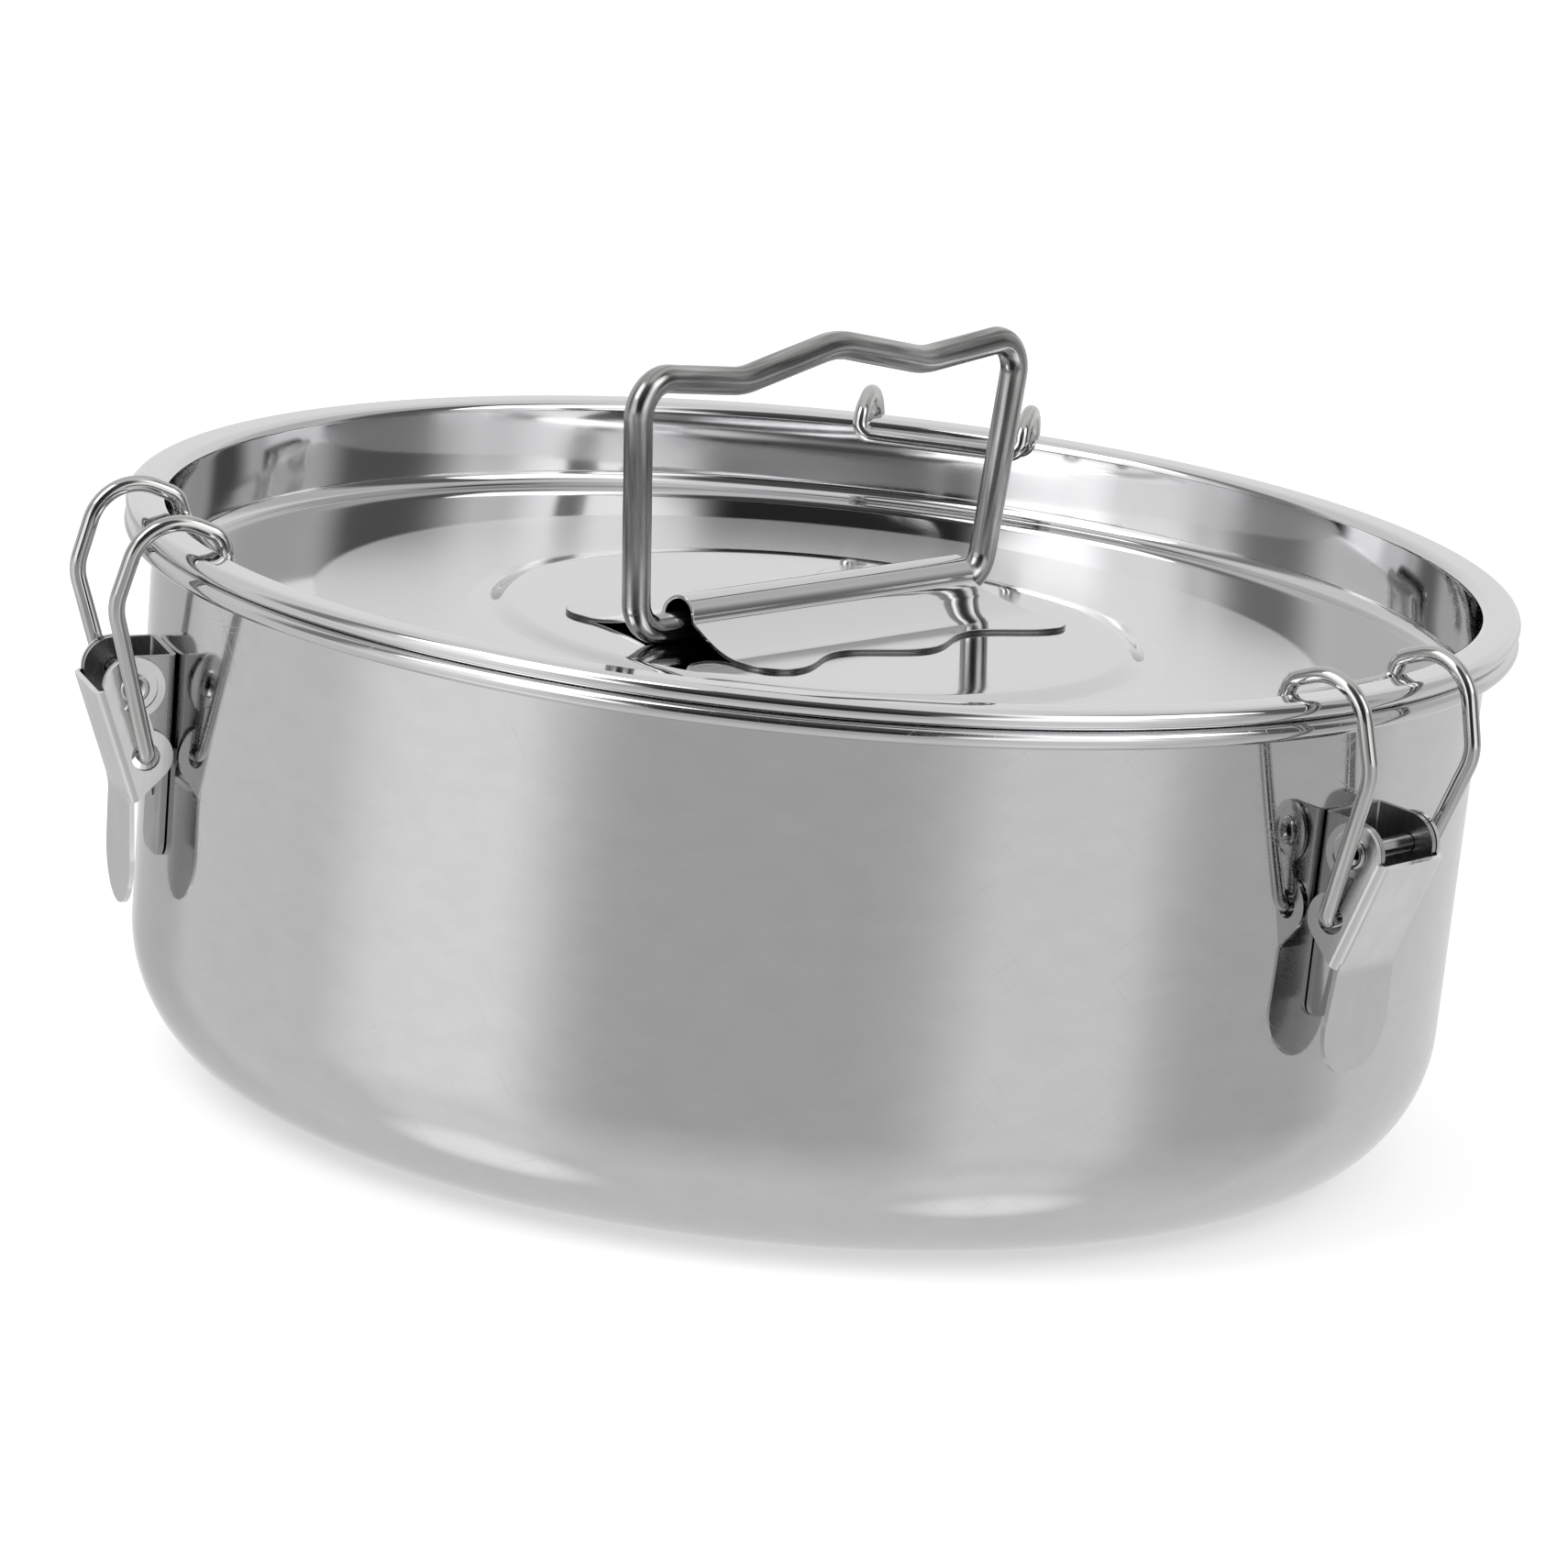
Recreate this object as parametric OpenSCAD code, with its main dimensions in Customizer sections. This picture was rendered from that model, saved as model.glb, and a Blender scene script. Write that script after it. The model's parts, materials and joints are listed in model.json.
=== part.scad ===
// Flan mold: a round pan with a recessed lid, a folding wire handle on a saddle,
// and three toggle latches that hook over the lid's rim. Millimetres, +Z up,
// origin at the centre of the pan's base.

/* [Pan] */
// Outside diameter over the rolled rims
rim_d = 172; // [150:1:200]
// Height from the base to the top of the pan's rim
pan_h = 68.2; // [60:0.1:90]
// Width of the rolled rim outside the wall
rim_w = 3.6; // [3.2:0.1:5]
// Height of a rolled rim
rim_h = 2.3; // [2:0.1:3]
// Draft of the pan wall, inwards towards the base
wall_draft = 1.2; // [0.5:0.1:2.5]
// Radius of the corner between wall and base
corner_r = 18; // [8:0.5:22]
// Sheet of the pan
pan_sheet = 0.6; // [0.5:0.05:0.8]

/* [Lid] */
// Depth of the recess from the lid's rim to its floor
recess = 10.9; // [9.5:0.1:16]
// Sheet of the lid
lid_sheet = 0.5; // [0.4:0.05:0.6]
// Gap between the lid's wall and the pan's wall
lid_fit = 0.3; // [0.2:0.05:0.4]
// Radius where the lid's floor turns up into its wall
foot_r = 1.8; // [1:0.1:3]
// Radius where the lid's wall turns out into its rim
lip_r = 1.2; // [1:0.1:1.5]
// Diameter of the raised middle of the lid
stage_d = 76; // [68:1:90]
// Height of the raised middle above the floor
stage_rise = 1.1; // [0.6:0.1:1.5]
// Width of the slope round the raised middle
stage_slope = 3; // [2:0.5:6]

/* [Handle] */
// Diameter of the handle's wire
grip_wire_d = 3.5; // [3:0.1:4]
// Half the handle's width at its foot
grip_foot = 31.5; // [29.5:0.1:33]
// Half the handle's width at its top corners
grip_top = 35; // [31:0.1:36]
// Height of the top corners above the hinge line
grip_rise = 31.5; // [24:0.5:36]
// Half the distance between the two dips of the grip
dip_x = 16.6; // [12:0.1:20]
// How far the dips lie below the corners
dip_drop = 1.9; // [1:0.1:4]
// How far the middle of the grip stands above the dips
peak_rise = 3.4; // [1:0.1:5]
// Radius of the handle's corners, on the wire's centre line
grip_bend = 4.2; // [4:0.1:6]
// Radius of the dips and of the middle
wave_bend = 7; // [5:0.5:12]
// How far the handle has slid along its tube
grip_slide = -1.6; // [-3:0.1:3]
// Gap between the wire's two ends inside the tube
grip_gap = 2; // [1:0.5:6]

/* [Saddle] */
// Sheet of the saddle
saddle_sheet = 0.5; // [0.4:0.05:0.8]
// Length of the tube that holds the handle
tube_len = 51.2; // [44:0.1:54]
// Gap between the handle's wire and the sides of the tube
tube_gap = 0.4; // [0.3:0.05:0.6]
// Height of the tube's top above the lid
tube_h = 5.65; // [5.4:0.05:7]
// Distance from the tube's axis to where the flank meets the lid
flank_w = 12; // [10:0.5:13]
// Distance from the middle to a lobe's centre, along the tube
lobe_x = 24; // [22:0.5:26]
// Distance from the middle to a lobe's centre, across the tube
lobe_y = 14.1; // [13.5:0.1:16]
// Radius of a lobe
lobe_r = 4.4; // [3:0.1:5]
// Depth of the notches in the long edges
notch = 4; // [2:0.5:5]

/* [Latch] */
// Angle of the rear latch from the handle's line
rear_turn = 30.8; // [26:0.2:34]
// Angle of the left latch from the handle's line
left_turn = 150; // [146:0.2:154]
// Angle of the right latch from the handle's line
right_turn = 272.6; // [266:0.2:274]
// Height of the lever's pivot above the base
pivot_z = 51.9; // [48:0.1:53]
// Distance of the pivot from the pan's wall
pivot_out = 5.3; // [5:0.1:6.5]
// Sheet of the lever
lever_sheet = 0.6; // [0.5:0.05:0.8]
// Width over the lever's wings
lever_w = 12.5; // [12:0.1:16]
// Radius of the bends between the lever's face and its wings
lever_bend = 1.2; // [0.9:0.1:1.5]
// Lean of the lever's face from upright
face_lean = 21.4; // [15:0.1:25]
// Distance from the pivot to the lever's face
face_out = 4.7; // [4.6:0.1:6]
// Length of the lever's face below the pivot
face_len = 13.6; // [12.5:0.1:16]
// Height of the face's top edge above the pivot, along the face
face_top = 0.9; // [0.5:0.1:1.5]
// Radius of the round ears
ear_r = 3.75; // [3.4:0.05:4]
// Radius of the lobes that hold the wire loop
hook_r = 3.35; // [3:0.05:3.5]
// Diameter of the holes that the loop's ends sit in
hook_hole_d = 3.5; // [2.8:0.1:3.8]
// Distance from the pivot to those holes, inwards
hook_in = 2; // [1.5:0.1:2.3]
// Distance from the pivot to those holes, downwards
hook_down = 8.4; // [8:0.1:9.5]
// Length of the lever's tongue
tongue_len = 13.6; // [10:0.1:16]
// Width of the tongue
tongue_w = 12.4; // [11:0.1:12.5]
// Lean of the tongue from upright
tongue_lean = 3.4; // [1.5:0.1:5]
// Radius of the fold between the lever's face and its tongue
fold_r = 6; // [3:0.5:8]
// Sheet of the bracket
bracket_sheet = 0.7; // [0.5:0.05:0.8]
// Gap between a bracket ear and a lever wing
wing_gap = 0.2; // [0.15:0.05:0.3]
// Radius of the bracket's ears
bracket_ear_r = 3.7; // [3.3:0.05:3.8]
// Width of the bracket's tail
tail_w = 8; // [6:0.5:9]
// Distance from the pivot down to the end of the tail
tail_len = 21.6; // [18:0.1:24]
// Diameter of the hollow pin
pin_d = 2.2; // [1.8:0.1:2.4]
// Bore of the hollow pin
pin_bore_d = 1.3; // [0.8:0.1:1.5]
// Diameter of the pin's flared ends
pin_head_d = 3.6; // [3:0.1:4.4]
// Running gap round the pin
pin_fit = 0.08; // [0.04:0.01:0.1]

/* [Wire loop] */
// Diameter of the loop's wire
loop_wire_d = 2; // [1.6:0.1:2.2]
// Distance between the loop's arms where they cross the rim
loop_w = 21.6; // [18:0.1:24]
// Gap between the arms and the top of the rim where they turn down to the cross bar
loop_lift = 0.4; // [0.3:0.05:0.8]
// Height of the arms' crest above that turn
crest_rise = 3.3; // [2.5:0.1:4]
// Distance of the crest outside the rim
crest_out = 2.5; // [2:0.1:3.5]
// Distance of the loop's cross bar below that turn
bar_drop = 3.3; // [3:0.1:4]
// Gap between the cross bar's ends and the lid's wall
bar_gap = 0.8; // [0.6:0.1:1.2]
// Gap between the loop's shoulder and the rim
shoulder_gap = 4.6; // [3.5:0.1:6]
// Height of the kink in the arms above the base
kink_z = 62.8; // [58:0.1:64]

/* [Hidden] */
$fn = 96;
steel = [0.80, 0.81, 0.82];
satin = [0.70, 0.71, 0.72];
wire_grey = [0.60, 0.61, 0.62];
dark = [0.38, 0.39, 0.40];

rim_r = rim_d / 2;
wall_r = rim_r - rim_w;
seat_gap = 0.02;
weld_gap = 0.05;
lid_top = pan_h + seat_gap + rim_h;
floor_z = lid_top - recess;
stage_z = floor_z + stage_rise;
lid_wall_r = wall_r - pan_sheet - lid_fit;
roll_r = rim_h / 2;
roll_slit = 0.8;
wire_lap = 0.1;
wire_weld = 0.01;

grip_z = stage_z + grip_wire_d / 2 + 0.1;
tube_r = grip_wire_d / 2 + tube_gap;
arch_z = stage_z + tube_h - saddle_sheet - tube_r;

latch_turns = [rear_turn, left_turn, right_turn];
pivot_r = wall_at(pivot_z) + pivot_out;
hook = [pivot_r - hook_in, pivot_z - hook_down];
wing_half = lever_w / 2;
bracket_half = wing_half - lever_sheet - wing_gap;

// Outside radius of the pan's wall at a height
function wall_at(z) = wall_r - (pan_h - z) * tan(wall_draft);

// Turns a latch from its own frame, X outwards and Y along the rim, into place
module at_latch(i) { rotate([0, 0, latch_turns[i - 1]]) children(); }

// Extrudes a side view, drawn in X and Z, to both sides of Y = 0
module across(w) { translate([0, w / 2, 0]) rotate([90, 0, 0]) linear_extrude(w) children(); }

// Section of a rolled edge whose lowest point is at z, with its slit towards r
module roll_section(r, z, sheet) {
    difference() {
        union() {
            translate([r, z]) square([rim_r - roll_r - r, rim_h]);
            translate([rim_r - roll_r, z + roll_r]) circle(roll_r);
        }
        translate([r - 1, z + sheet]) square([rim_r - roll_r - r + 1, rim_h - 2 * sheet]);
        translate([rim_r - roll_r, z + roll_r]) circle(roll_r - sheet);
        translate([r - 1, z - 1]) square([roll_slit + 1, 1 + sheet + 0.01]);
    }
}

// Filled section of a cup up to height end, moved inwards by inset: wall radius r at height top,
// rounded corner above base, and a middle whose points are given as [radius, height above base]
module cup_section(r, top, base, corner, inset, end, middle = [[0, 0]]) {
    c = [r - (top - base - corner) * tan(wall_draft) - corner / cos(wall_draft), base + corner];
    tip = c + (corner - inset) * [cos(wall_draft), -sin(wall_draft)];
    end_r = r - (top - end) * tan(wall_draft) - inset / cos(wall_draft);
    polygon(concat(
        [for (p = middle) [p.x, p.y + base + inset]],
        [[c.x, base + inset], tip, [end_r, end], [0, end]]
    ));
    translate(c) circle(corner - inset);
}

module pan() {
    flange_z = pan_h - pan_sheet;
    color(steel) rotate_extrude() {
        difference() {
            cup_section(wall_r, pan_h, 0, corner_r, 0, flange_z - 0.1);
            cup_section(wall_r, pan_h, 0, corner_r, pan_sheet, pan_h + 1);
        }
        translate([wall_r - pan_sheet, flange_z - 1]) square([pan_sheet, pan_sheet + 1]);
        roll_section(wall_r - 0.05, pan_h - rim_h, pan_sheet);
    }
}

// Quarter ring from angle a to a + 90 about c, between radii r - sheet and r
module quarter(c, r, sheet, a) {
    translate(c) rotate(a) intersection() {
        difference() {
            circle(r);
            circle(r - sheet);
        }
        square(r);
    }
}

module lid() {
    lip_z = lid_top - lip_r;
    lip_c = [lid_wall_r - lip_r * tan(wall_draft) - lid_sheet + lip_r, lip_z];
    middle = concat([[0, stage_rise]], [
        for (a = [0:15:180]) [stage_d / 2 + stage_slope * a / 180, stage_rise * (1 + cos(a)) / 2]
    ]);
    color(steel) rotate_extrude() {
        difference() {
            cup_section(lid_wall_r, lid_top, floor_z - lid_sheet, foot_r + lid_sheet, 0, lip_z, middle);
            cup_section(
                lid_wall_r, lid_top, floor_z - lid_sheet, foot_r + lid_sheet, lid_sheet, lid_top, middle
            );
        }
        quarter(lip_c, lip_r, lid_sheet, 90);
        roll_section(lip_c.x, pan_h + seat_gap, lid_sheet);
    }
}

// Straight and bent lengths of wire through a list of corner points

function unit(v) = v / norm(v);
function square_to(v) = unit(abs(v.z) < 0.9 * norm(v) ? cross(v, [0, 0, 1]) : cross(v, [1, 0, 0]));
function turn(p, i) = acos(unit(p[i] - p[i - 1]) * unit(p[i + 1] - p[i]));
function trim(p, r, i) = i <= 0 || i >= len(p) - 1 ? 0 : r[i - 1] * tan(turn(p, i) / 2);

// Places children with their X and Y along x and y, at o
module oriented(o, x, y) {
    z = cross(x, y);
    multmatrix([[x.x, y.x, z.x, o.x], [x.y, y.y, z.y, o.y], [x.z, y.z, z.z, o.z], [0, 0, 0, 1]]) children();
}

// A round wire of diameter d through points p, with a bend radius for each inner point.
// The straight lengths reach into the bends, which are thicker by wire_weld so that they join.
module wire(p, r, d) {
    for (i = [0:len(p) - 2]) {
        along = unit(p[i + 1] - p[i]);
        side = square_to(along);
        start = trim(p, r, i) - (i == 0 ? 0 : wire_lap);
        end = norm(p[i + 1] - p[i]) - trim(p, r, i + 1) + (i == len(p) - 2 ? 0 : wire_lap);
        oriented(p[i] + along * start, side, cross(along, side)) cylinder(h = end - start, d = d);
    }
    for (i = [1:len(p) - 2]) {
        from = unit(p[i] - p[i - 1]);
        to = unit(p[i + 1] - p[i]);
        inside = unit(to - from * (from * to));
        start = p[i] - from * trim(p, r, i);
        oriented(start + inside * r[i - 1], -inside, from)
            rotate_extrude(angle = turn(p, i)) translate([r[i - 1], 0]) circle(d = d + wire_weld);
    }
}

module handle_wire() {
    corner_z = grip_z + grip_rise;
    half = [
        [grip_gap / 2, 0, grip_z], [grip_foot, 0, grip_z], [grip_top, 0, corner_z],
        [dip_x, 0, corner_z - dip_drop]
    ];
    path = concat(
        [for (p = half) [-p.x, 0, p.z]],
        [[0, 0, corner_z - dip_drop + peak_rise]],
        [for (i = [3:-1:0]) half[i]]
    );
    bends = [grip_bend, grip_bend, wave_bend, wave_bend, wave_bend, grip_bend, grip_bend];
    color(wire_grey) translate([grip_slide, 0, 0]) wire(path, bends, grip_wire_d);
}

// Point on the cubic curve with control points c
function curve(c, t) =
    pow(1 - t, 3) * c[0] + 3 * t * pow(1 - t, 2) * c[1] + 3 * t * t * (1 - t) * c[2] + pow(t, 3) * c[3];

// Middle line of the saddle's section, from the edge of the plate up to the top of the tube
function saddle_line() =
    let (
        mid_r = tube_r + saddle_sheet / 2,
        base = stage_z + saddle_sheet / 2,
        flank = [
            [mid_r, arch_z], [mid_r + 0.2, arch_z - 0.9],
            [flank_w - 3, base], [flank_w, base]
        ]
    )
    concat(
        [[lobe_y + lobe_r + 1, base]],
        [for (i = [12:-1:0]) curve(flank, i / 12)],
        [for (a = [10:10:90]) [mid_r * cos(a), arch_z + mid_r * sin(a)]]
    );

// The same line moved sideways by d
function moved(line, d) = [
    for (i = [0:len(line) - 1])
    let (
        a = line[max(i - 1, 0)],
        b = i == len(line) - 1 ? [-line[i - 1].x, line[i - 1].y] : line[i + 1],
        u = unit(b - a)
    )
    line[i] + d * [u.y, -u.x]
];

function mirrored(line) = [for (i = [len(line) - 2:-1:0]) [-line[i].x, line[i].y]];

// Outline of the saddle: round lobes, waisted ends and a wave along each long side
function saddle_edge() =
    let (
        end_x = tube_len / 2,
        lobe_tip = lobe_x + lobe_r,
        ends = [
            for (i = [0:7])
            let (y = lobe_y * i / 8)
            [end_x + (lobe_tip - end_x) * (1 - cos(180 * i / 8)) / 2, y]
        ],
        lobe = [for (a = [0:10:80]) [lobe_x + lobe_r * cos(a), lobe_y + lobe_r * sin(a)]],
        wave = [
            for (i = [0:15])
            let (x = lobe_x * (1 - i / 16))
            [x, lobe_y + lobe_r - notch * (1 - cos(360 * x / lobe_x)) / 2]
        ]
    )
    concat(ends, lobe, wave, [[0, lobe_y + lobe_r]]);

module saddle_outline() {
    quarter = saddle_edge();
    last = len(quarter) - 1;
    top = concat(quarter, [for (i = [last - 1:-1:0]) [-quarter[i].x, quarter[i].y]]);
    polygon(concat(top, [for (i = [len(top) - 2:-1:1]) [top[i].x, -top[i].y]]));
}

module handle_saddle() {
    line = saddle_line();
    upper = moved(line, saddle_sheet / 2);
    lower = moved(line, -saddle_sheet / 2);
    rim = concat(upper, mirrored(upper));
    under = concat(lower, mirrored(lower));
    color(steel) intersection() {
        rotate([90, 0, 90]) translate([0, 0, -lobe_x - lobe_r - 1])
            linear_extrude(2 * (lobe_x + lobe_r + 1))
                polygon(concat(rim, [for (i = [len(under) - 1:-1:0]) under[i]]));
        translate([0, 0, stage_z - 1]) linear_extrude(tube_h + 3) saddle_outline();
    }
}

// Section of a folded channel, X outwards: depth behind the face at x, w wide over its wings
module channel_section(x, depth, w, sheet, bend) {
    difference() {
        union() {
            translate([x - depth, -w / 2]) square([depth - bend, w]);
            translate([x - bend, -w / 2 + bend]) square([bend, w - 2 * bend]);
            for (s = [-1, 1]) translate([x - bend, s * (w / 2 - bend)]) circle(bend);
        }
        translate([x - depth - 1, -w / 2 + sheet]) square([depth + 1 - bend, w - 2 * sheet]);
        translate([x - bend - 0.01, -w / 2 + bend]) square([bend + 0.01 - sheet, w - 2 * bend]);
        for (s = [-1, 1]) translate([x - bend, s * (w / 2 - bend)]) circle(bend - sheet);
    }
}

// The lever's frame: origin at the pivot, Z up along the face, X out of it
module lever_frame() { translate([pivot_r, 0, pivot_z]) rotate([0, face_lean, 0]) children(); }

// A latch-frame offset from the pivot, [out, up], in the lever's frame
function in_lever(v) = [
    v.x * cos(face_lean) - v.y * sin(face_lean),
    v.x * sin(face_lean) + v.y * cos(face_lean)
];

module lever() {
    lobe = in_lever([-hook_in, -hook_down]);
    neck_x = lobe.x - hook_r + 1.5;
    crease = [
        pivot_r + face_out * cos(face_lean) - face_len * sin(face_lean),
        pivot_z - face_out * sin(face_lean) - face_len * cos(face_lean)
    ];
    fold = face_lean - tongue_lean;
    half_lean = (face_lean + tongue_lean) / 2;
    half_way = [cos(half_lean), -sin(half_lean)];
    mitre = crease - lever_sheet / cos(fold / 2) * half_way;
    fold_c = crease + fold_r / cos(fold / 2) * half_way;
    folded = [
        for (i = [0:4])
        let (lean = face_lean - fold * i / 4)
        fold_c - fold_r * [cos(lean), -sin(lean)]
    ];
    tip = crease - tongue_len * [sin(tongue_lean), cos(tongue_lean)];
    up = [sin(face_lean), cos(face_lean)];
    in_t = lever_sheet * [-cos(tongue_lean), sin(tongue_lean)];
    end_z = crease.y - tongue_len * cos(tongue_lean) + tongue_w / 2;
    difference() {
        union() {
            lever_frame() intersection() {
                translate([0, 0, -face_len])
                    linear_extrude(face_len + ear_r + 1)
                        channel_section(face_out, 12, lever_w, lever_sheet, lever_bend);
                across(lever_w + 1) {
                    circle(ear_r);
                    translate(lobe) circle(hook_r);
                    polygon([
                        [neck_x, 0], [0, face_top], [face_out + 1, face_top], [face_out + 1, -face_len],
                        [face_out - 0.8, -face_len], [lobe.x - 0.35 * hook_r, lobe.y - 0.937 * hook_r],
                        [neck_x, lobe.y]
                    ]);
                }
            }
            intersection() {
                across(lever_w)
                    polygon(concat(folded, [tip, tip + in_t, mitre, mitre + fold_r * tan(fold / 2) * up]));
                translate([pivot_r - 20, 0, 0]) rotate([90, 0, 90]) linear_extrude(40) {
                    translate([0, end_z]) circle(tongue_w / 2);
                    polygon([
                        [-tongue_w / 2, end_z], [tongue_w / 2, end_z],
                        [tongue_w / 2 - 0.6, crease.y], [tongue_w / 2 - 0.6, crease.y + 2],
                        [-tongue_w / 2 + 0.6, crease.y + 2], [-tongue_w / 2 + 0.6, crease.y]
                    ]);
                }
            }
        }
        translate([pivot_r, 0, pivot_z]) rotate([90, 0, 0]) {
            cylinder(h = lever_w + 2, d = pin_d + 2 * pin_fit, center = true);
            for (s = [-1, 1]) translate([0, 0, s * (wing_half + 0.5)])
                cylinder(h = 1.4, r = ear_r - 0.9, center = true);
        }
        translate([hook.x, 0, hook.y]) rotate([90, 0, 0])
            cylinder(h = lever_w + 2, d = hook_hole_d, center = true);
    }
}

module bracket() {
    back = wall_at(pivot_z) + weld_gap - pivot_r;
    ear_foot = -8;
    dimple_z = -14;
    difference() {
        translate([pivot_r, 0, pivot_z]) {
            intersection() {
                translate([back, 0, 0]) rotate([0, wall_draft, 0]) translate([0, 0, -12])
                    linear_extrude(20) mirror([1, 0])
                        channel_section(0, pivot_out + 6, 2 * bracket_half, bracket_sheet, 1);
                across(lever_w) {
                    circle(bracket_ear_r);
                    polygon([
                        [back - 1, bracket_ear_r + 0.4], [0, bracket_ear_r], [0, -bracket_ear_r],
                        [back + 2, ear_foot + 1], [back - 1, ear_foot]
                    ]);
                }
            }
            translate([back, 0, 0]) rotate([0, wall_draft, 0]) difference() {
                rotate([90, 0, 90]) linear_extrude(bracket_sheet) {
                    translate([-bracket_half + 1, ear_foot]) square([2 * bracket_half - 2, -ear_foot + 2]);
                    polygon([
                        [-bracket_half + 1, ear_foot + 1], [bracket_half - 1, ear_foot + 1],
                        [bracket_half - 1, ear_foot], [tail_w / 2, ear_foot - 2],
                        [tail_w / 2, -tail_len + 2], [-tail_w / 2, -tail_len + 2],
                        [-tail_w / 2, ear_foot - 2], [-bracket_half + 1, ear_foot]
                    ]);
                    translate([-tail_w / 2 + 2, -tail_len]) square([tail_w - 4, 3]);
                    for (s = [-1, 1]) translate([s * (tail_w / 2 - 2), -tail_len + 2]) circle(2);
                }
                translate([bracket_sheet + 1.2, 0, dimple_z]) sphere(1.5);
            }
        }
        translate([pivot_r, 0, pivot_z]) rotate([90, 0, 0])
            cylinder(h = lever_w, d = pin_d + 2 * pin_fit, center = true);
    }
}

module pin() {
    head = 0.45;
    seat = wing_half - 0.2 + 0.1;
    flare = (pin_head_d - pin_bore_d) / 2 - 0.5;
    translate([pivot_r, 0, pivot_z]) rotate([90, 0, 0]) difference() {
        union() {
            cylinder(h = 2 * seat + 0.2, d = pin_d, center = true);
            for (s = [0, 1]) mirror([0, 0, s]) translate([0, 0, seat]) {
                cylinder(h = head / 2, d = pin_head_d);
                translate([0, 0, head / 2]) cylinder(h = head / 2, d1 = pin_head_d, d2 = pin_head_d - head);
            }
        }
        cylinder(h = lever_w + 4, d = pin_bore_d, center = true);
        for (s = [0, 1]) mirror([0, 0, s]) translate([0, 0, seat + head - flare])
            cylinder(h = flare + 0.01, d1 = pin_bore_d, d2 = pin_bore_d + 2 * flare);
    }
}

module loop() {
    r = loop_wire_d / 2;
    arm = loop_w / 2;
    low_y = wing_half + 0.2 + r;
    turn_z = lid_top + r + loop_lift;
    bar_x = sqrt(pow(lid_wall_r - lid_sheet - r - bar_gap, 2) - arm * arm) - 0.2;
    half = [
        [hook.x, low_y - 2.7, hook.y],
        [hook.x, low_y, hook.y],
        [rim_r + shoulder_gap + r, arm - 0.5, kink_z],
        [rim_r + crest_out, arm, turn_z + crest_rise],
        [bar_x + 1.2, arm, turn_z],
        [bar_x, arm, turn_z - bar_drop]
    ];
    path = concat([for (p = half) [p.x, -p.y, p.z]], [for (i = [5:-1:0]) half[i]]);
    bends = [1.6, 6, 6, 0.7 * bar_drop, 0.5 * bar_drop];
    wire(path, concat(bends, [for (i = [4:-1:0]) bends[i]]), loop_wire_d);
}

module latch_bracket(i) { color(dark) at_latch(i) bracket(); }
module latch_pin(i) { color(satin) at_latch(i) pin(); }
module latch_lever(i) { color(satin) at_latch(i) lever(); }
module latch_loop(i) { color(wire_grey) at_latch(i) loop(); }

pan();
lid();
handle_saddle();
handle_wire();
latch_bracket(1);  // latch_bracket_1
latch_pin(1);  // latch_pin_1
latch_lever(1);  // latch_lever_1
latch_loop(1);  // latch_loop_1
latch_bracket(2);  // latch_bracket_2
latch_pin(2);  // latch_pin_2
latch_lever(2);  // latch_lever_2
latch_loop(2);  // latch_loop_2
latch_bracket(3);  // latch_bracket_3
latch_pin(3);  // latch_pin_3
latch_lever(3);  // latch_lever_3
latch_loop(3);  // latch_loop_3
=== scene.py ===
import json
import math
import bmesh
import bpy
import numpy as np
from mathutils import Matrix, Vector


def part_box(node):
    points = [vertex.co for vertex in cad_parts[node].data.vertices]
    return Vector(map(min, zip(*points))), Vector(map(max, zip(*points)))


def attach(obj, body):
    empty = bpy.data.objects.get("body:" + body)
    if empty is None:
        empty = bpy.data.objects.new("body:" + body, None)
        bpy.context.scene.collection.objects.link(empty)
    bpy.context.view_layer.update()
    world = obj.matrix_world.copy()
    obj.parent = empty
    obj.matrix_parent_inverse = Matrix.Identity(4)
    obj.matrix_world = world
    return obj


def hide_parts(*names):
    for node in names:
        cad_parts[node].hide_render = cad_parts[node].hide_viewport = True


# A round stainless mold: pan, recessed lid, folding wire handle and three toggle latches.
# Lengths in the dictionaries are millimetres, angles are degrees.

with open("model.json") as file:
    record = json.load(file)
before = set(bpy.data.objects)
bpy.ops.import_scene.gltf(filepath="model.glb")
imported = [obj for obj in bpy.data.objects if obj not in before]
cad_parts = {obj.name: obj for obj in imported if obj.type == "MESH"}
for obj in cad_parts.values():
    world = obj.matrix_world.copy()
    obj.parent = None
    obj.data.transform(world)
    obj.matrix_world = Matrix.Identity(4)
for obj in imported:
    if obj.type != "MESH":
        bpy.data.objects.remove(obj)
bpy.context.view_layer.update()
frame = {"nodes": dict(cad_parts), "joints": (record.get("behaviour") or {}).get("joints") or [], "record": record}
mm = 0.001
joints = {joint["name"]: joint for joint in frame["joints"]}
nodeBodies = {node: body for body, nodes in frame["record"]["behaviour"]["bodies"].items() for node in nodes}
print("frame loaded:", len(frame["nodes"]), "nodes")

# Shapes

def arc(centre, radius, start, end, count=12):
    turn = np.radians(np.linspace(start, end, count))
    return np.column_stack([centre[0] + radius * np.cos(turn), centre[1] + radius * np.sin(turn)])


def boxMm(nodeName):
    low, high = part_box(nodeName)
    return np.array(low) / mm, np.array(high) / mm


# Merges what lies on one point, such as a pole or a seam, and turns every face outwards.
def closeMesh(mesh):
    shape = bmesh.new()
    shape.from_mesh(mesh)
    bmesh.ops.remove_doubles(shape, verts=shape.verts, dist=1e-6)
    bmesh.ops.recalc_face_normals(shape, faces=shape.faces)
    shape.to_mesh(mesh)
    shape.free()


def placePiece(mesh, name, material, node):
    piece = bpy.data.objects.new(name, mesh)
    bpy.context.scene.collection.objects.link(piece)
    mesh.materials.append(material)
    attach(piece, nodeBodies[node])
    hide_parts(node)
    return piece


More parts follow.
